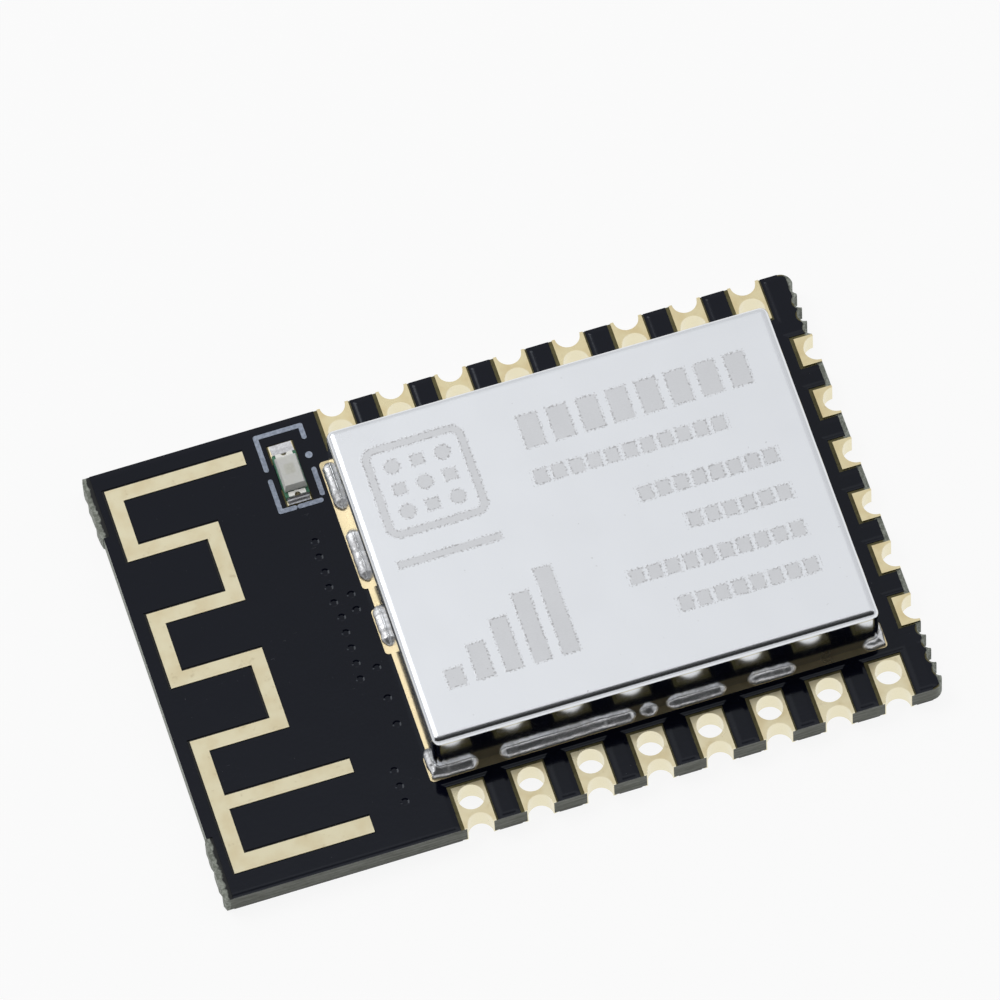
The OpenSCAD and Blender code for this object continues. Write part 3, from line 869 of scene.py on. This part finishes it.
@dataclass
class ShieldCan:
    """The folded can, its land and the solder that holds it."""

    corner: float = 0.26
    seam_height: float = 0.34
    step: float = 0.035

    def build(self) -> None:
        """Dresses the can and lays the solder round it."""
        self._measure()
        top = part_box("shield_can")[1].z / MM
        sheet = SheetFinish((self.middle.x, self.middle.y), top)
        dress("shield_can", sheet.make("shield_sheet"))
        # painted shade: the land's gold is darker than the pads' for the shade of the can's wall
        dress("shield_land", GoldFinish(colour=(0.70, 0.58, 0.36)).make("gold_land_shaded"))
        solder = SolderFinish().make("solder")
        for number, seam in enumerate(self._seams(), start=1):
            self._lay(number, seam, solder)

    def _measure(self) -> None:
        """Reads the can's turn, middle and half sizes from its solid, in millimetres."""
        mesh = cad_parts["shield_can"].data
        wall = max((p for p in mesh.polygons if p.normal.y < -0.99), key=lambda p: p.area)
        angle = math.atan2(wall.normal.x, -wall.normal.y)
        self.turn = Matrix.Rotation(angle, 3, "Z")
        axes = [self.turn @ Vector(axis) for axis in ((1, 0, 0), (0, 1, 0))]
        spans = [[v.co.dot(axis) / MM for v in mesh.vertices] for axis in axes]
        self.half = tuple((max(span) - min(span)) / 2 for span in spans)
        self.middle = Vector((0.0, 0.0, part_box("shield_can")[0].z / MM))
        for span, axis in zip(spans, axes):
            self.middle += (max(span) + min(span)) / 2 * axis
        self.land = [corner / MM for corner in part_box("shield_land")]

    def _reach(self, place: Vector, out: Vector) -> float:
        """How far the land goes on in front of a point of the can's foot.

        Args:
            place: the point.
            out: the direction away from the can.

        Returns:
            The distance in millimetres.
        """
        gaps = [(self.land[out[axis] > 0][axis] - place[axis]) / out[axis]
                for axis in (0, 1) if abs(out[axis]) > 0.05]
        return max(0.04, min(gaps) * (1 - 0.3 * abs(out.x * out.y)))

    def _seams(self) -> list[Seam]:
        """The stretches, by their distance along the can's outline in millimetres."""
        length, width = 2 * self.half[0], 2 * self.half[1]
        front = width / 2

        def ahead(share: float) -> float:
            """Distance of a share of the front side."""
            return front + length * share

        return [
            Seam(width * 0.425, ahead(0.097), 1.0),
            Seam(ahead(0.143), ahead(0.45), 1.05),
            Seam(ahead(0.457), ahead(0.5), 0.85),
            Seam(ahead(0.517), ahead(0.653), 0.9),
            Seam(ahead(0.7), ahead(0.81), 1.0),
            Seam(ahead(0.959), ahead(1.0) + width * 0.07, 1.15),
            Seam(width * -0.03, width * 0.1, 0.7),
            Seam(width * -0.275, width * -0.108, 1.0),
            Seam(width * -0.49, width * -0.337, 1.1),
        ]

    def _outline(self, s: float) -> tuple[Vector, Vector]:
        """The can's outline at a distance from the middle of its antenna side.

        Args:
            s: the distance, towards the front, in millimetres.

        Returns:
            The point and the outward direction there.
        """
        hl, hw = self.half
        r = self.corner
        corners = ((-hw, (-hl + r, hw - r), 135.0), (hw, (-hl + r, -hw + r), 225.0),
                   (hw + 2 * hl, (hl - r, -hw + r), 315.0))
        for at, (cx, cy), angle in corners:
            if abs(s - at) < r:
                a = math.radians(angle + 45.0 * (s - at) / r)
                out = Vector((math.cos(a), math.sin(a), 0.0))
                return Vector((cx, cy, 0.0)) + r * out, out
        if s <= -hw:
            return Vector((-hl - (s + hw), hw, 0.0)), Vector((0.0, 1.0, 0.0))
        if s < hw:
            return Vector((-hl, -s, 0.0)), Vector((-1.0, 0.0, 0.0))
        if s < hw + 2 * hl:
            return Vector((-hl + s - hw, -hw, 0.0)), Vector((0.0, -1.0, 0.0))
        return Vector((hl, -hw + s - hw - 2 * hl, 0.0)), Vector((1.0, 0.0, 0.0))

    def _lay(self, number: int, seam: Seam, material: bpy.types.Material) -> None:
        """Lays one stretch of solder: a full bead, drawn up at the wall.

        Args:
            number: the stretch's number.
            seam: its place and size.
            material: its finish.
        """
        mesh = bmesh.new()
        count = max(6, round((seam.end - seam.start) / self.step))
        rings = []
        for i in range(count + 1):
            s = seam.start + (seam.end - seam.start) * i / count
            to_end = min(s - seam.start, seam.end - s)
            taper = min(1.0, math.sqrt(max(0.004, to_end / 0.24)))
            point, out = self._outline(s)
            wave = noise.noise(Vector((s * 1.1, number, 0.0)))
            ripple = noise.noise(Vector((s * 5.0, number, 4.0)))
            height = self.seam_height * seam.height * taper * (0.88 + 0.2 * wave + 0.10 * ripple)
            place, out = self.middle + self.turn @ point, self.turn @ out
            width = self._reach(place, out) * taper * (0.90 + 0.05 * ripple)
            rings.append(self._section(place, out, width, height, s))
        sweep(mesh, rings)
        new_piece(f"solder_seam_{number}", mesh, material,
                  (f"shield_solder_{number}",))

    def _section(self, point: Vector, out: Vector, width: float, height: float,
                 s: float) -> list[Vector]:
        """One section through a fillet.

        Args:
            point: the foot of the wall.
            out: the outward direction.
            width: how far it reaches from the wall.
            height: how high it climbs.
            s: the distance along the outline, for its small dents.

        Returns:
            The section's points in metres.
        """
        profile = [(0.0, 0.0), (1.0, 0.0), (1.0, 0.12), (0.985, 0.20), (0.96, 0.28),
                   (0.92, 0.36), (0.86, 0.44), (0.77, 0.52), (0.66, 0.59), (0.52, 0.655),
                   (0.38, 0.71), (0.25, 0.77), (0.14, 0.84), (0.05, 0.92), (0.0, 1.0)]
        ring = []
        for across, up in profile:
            dent = 0.0
            if 0.05 < across < 0.98:
                dent = 0.012 * noise.noise(Vector((s * 8.0, up * 5.0, 2.0)))
            place = point + out * (across * width + dent) + Vector((0.0, 0.0, up * height))
            ring.append(place * MM)
        return ring


@dataclass
class StatusLight:
    """The small surface-mounted light beside the can."""

    def build(self) -> None:
        """Dresses the light's solids."""
        low, high = (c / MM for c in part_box("light_lens"))
        centre = ((low.x + high.x) / 2, (low.y + high.y) / 2)
        dress("light_lens", LensFinish(centre).make("milky_lens"))
        green = MouldedFinish((0.05, 0.20, 0.11), 0.45)
        dress("light_carrier", green.make("green_carrier"))
        tin = MetalFinish((0.80, 0.80, 0.76), 0.25).make("tinned_end")
        solder = SolderFinish().make("solder_small")
        for word in ("back", "front"):
            dress(f"light_terminal_{word}", tin)
            dress(f"light_solder_{word}", solder)
        dress("light_lands", GoldFinish().make("gold_small"))


@dataclass
class Circuit:
    """The parts that the can hides."""

    chips: int = 7

    def build(self) -> None:
        """Dresses the parts under the can."""
        black = MouldedFinish((0.02, 0.02, 0.021), 0.55).make("chip_mould")
        tin = MetalFinish((0.72, 0.72, 0.71)).make("chip_leads")
        dress("radio_chip", black)
        dress("flash_chip", black)
        dress("radio_terminals", tin)
        dress("flash_leads", tin)
        dress("crystal_base", MouldedFinish((0.66, 0.62, 0.54), 0.6).make("crystal_ceramic"))
        dress("crystal_lid", MetalFinish((0.76, 0.72, 0.62), 0.22).make("crystal_lid"))
        dress("circuit_lands", GoldFinish().make("gold_hidden"))
        ceramic = MouldedFinish((0.36, 0.24, 0.14), 0.5).make("chip_ceramic")
        for i in range(1, self.chips + 1):
            dress(f"chip_part_{i}", ceramic)


# ------------------------------------------------------------------ studio


@dataclass
class Studio:
    """Floor, light and camera. Arcs are degrees, from the front horizon up and over."""

    azimuth: float = -13.967
    elevation: float = 61.826
    roll: float = -4.110
    distance: float = 0.3671
    focal: float = 409.7
    aim: tuple[float, float, float] = (0.000542, 0.002934, 0.0008)
    tent: float = 0.74
    tent_tint: Colour = (0.985, 0.99, 1.0)
    glare: float = 0.45
    dark: float = 0.03
    opening_low: tuple[float, float] = (26.0, 32.0)
    opening_high: tuple[float, float] = (95.0, 101.0)
    opening_side: tuple[float, float] = (48.0, 68.0)
    band_low: tuple[float, float] = (99.0, 102.0)
    band_high: tuple[float, float] = (113.0, 118.0)
    lamp_place: tuple[float, float, float] = (-0.22, 0.30, 0.42)
    lamp_size: tuple[float, float] = (0.35, 0.25)
    lamp_power: float = 0.75
    paper: float = 0.93
    paper_glow: float = 0.90

    def build(self) -> None:
        """Sets the whole studio up."""
        scene = bpy.context.scene
        scene.view_settings.view_transform = "Standard"
        self._floor()
        self._world()
        self._lamps()
        self._camera()

    def _floor(self) -> None:
        """Lays a wide pale floor under the board."""
        mesh = bmesh.new()
        bmesh.ops.create_grid(mesh, x_segments=8, y_segments=8, size=1.5)
        data = bpy.data.meshes.new("floor")
        mesh.to_mesh(data)
        mesh.free()
        floor = bpy.data.objects.new("floor", data)
        bpy.context.scene.collection.objects.link(floor)
        g = Graph("floor_white")
        path = g.add("ShaderNodeLightPath", out="Is Camera Ray")
        seen = path.most(path.out("Is Glossy Ray"), path.out("Is Transmission Ray"))
        paper = g.add("ShaderNodeBsdfDiffuse", None, {"Color": (self.paper,) * 3})
        glow = g.add("ShaderNodeEmission", None, {"Color": (1.0, 1.0, 1.0), "Strength": 1.0})
        g.add_output(g.add("ShaderNodeMixShader", None, {0: seen * self.paper_glow, 1: paper, 2: glow}))
        data.materials.append(g.owner)

    def _world(self) -> None:
        """Surrounds the part with a white tent that is open and dark at its front."""
        g = Graph("tent", world=True)
        bpy.context.scene.world = g.owner
        ray = g.add("ShaderNodeTexCoord", out="Generated")
        a = math.radians(self.azimuth)
        _, _, up = g.split(ray)
        near = g.along(ray, (math.sin(a), -math.cos(a), 0.0))
        side = g.along(ray, (math.cos(a), math.sin(a), 0.0))
        arc = up.math("ARCTAN2", near) * math.degrees(1.0)
        off = abs(side.math("ARCSINE")) * math.degrees(1.0)
        within = off.ramp(*self.opening_side, 1.0, 0.0)
        opening = (arc.ramp(*self.opening_low) * arc.ramp(*self.opening_high, 1.0, 0.0)
                   * within)
        band = arc.ramp(*self.band_low) * arc.ramp(*self.band_high, 1.0, 0.0) * within
        light = self.tent + band * self.glare - opening * (self.tent - self.dark)
        seen = g.add("ShaderNodeLightPath", out="Is Camera Ray")
        light = light + seen * (1.0 - light)
        g.add_output(g.add("ShaderNodeBackground", None,
                           {"Color": self.tent_tint, "Strength": light}))

    def _lamps(self) -> None:
        """Hangs one broad lamp over the back left."""
        data = bpy.data.lights.new("softbox", "AREA")
        data.shape = "RECTANGLE"
        data.size, data.size_y = self.lamp_size
        data.energy = self.lamp_power
        lamp = bpy.data.objects.new("softbox", data)
        bpy.context.scene.collection.objects.link(lamp)
        lamp.location = self.lamp_place
        lamp.rotation_euler = (Vector((0, 0, 0)) - lamp.location).to_track_quat(
            "-Z", "Y").to_euler()

    def _camera(self) -> None:
        """Places the camera."""
        a, e, r = (math.radians(v) for v in (self.azimuth, self.elevation, self.roll))
        back = Vector((math.sin(a) * math.cos(e), -math.cos(a) * math.cos(e), math.sin(e)))
        right = Vector((math.cos(a), math.sin(a), 0.0))
        up = back.cross(right)
        right, up = (math.cos(r) * right + math.sin(r) * up,
                     -math.sin(r) * right + math.cos(r) * up)
        data = bpy.data.cameras.new("camera")
        data.lens = self.focal
        data.sensor_width = 36.0
        data.clip_start = 0.01
        camera = bpy.data.objects.new("camera", data)
        bpy.context.scene.collection.objects.link(camera)
        turn = Matrix((right, up, back)).transposed().to_4x4()
        camera.matrix_world = Matrix.Translation(Vector(self.aim) + self.distance * back) @ turn
        bpy.context.scene.camera = camera


# ------------------------------------------------------------------ the module


def main() -> None:
    """Builds the module, then its studio."""
    logging.basicConfig(level=logging.INFO, format="%(name)s: %(message)s")
    pads = PadRows()
    for part in (Board(pads), pads, Antenna(), ShieldCan(), StatusLight(), Circuit(), Studio()):
        part.build()
        LOG.info("built %s", type(part).__name__)


if __name__ == "__main__":
    main()
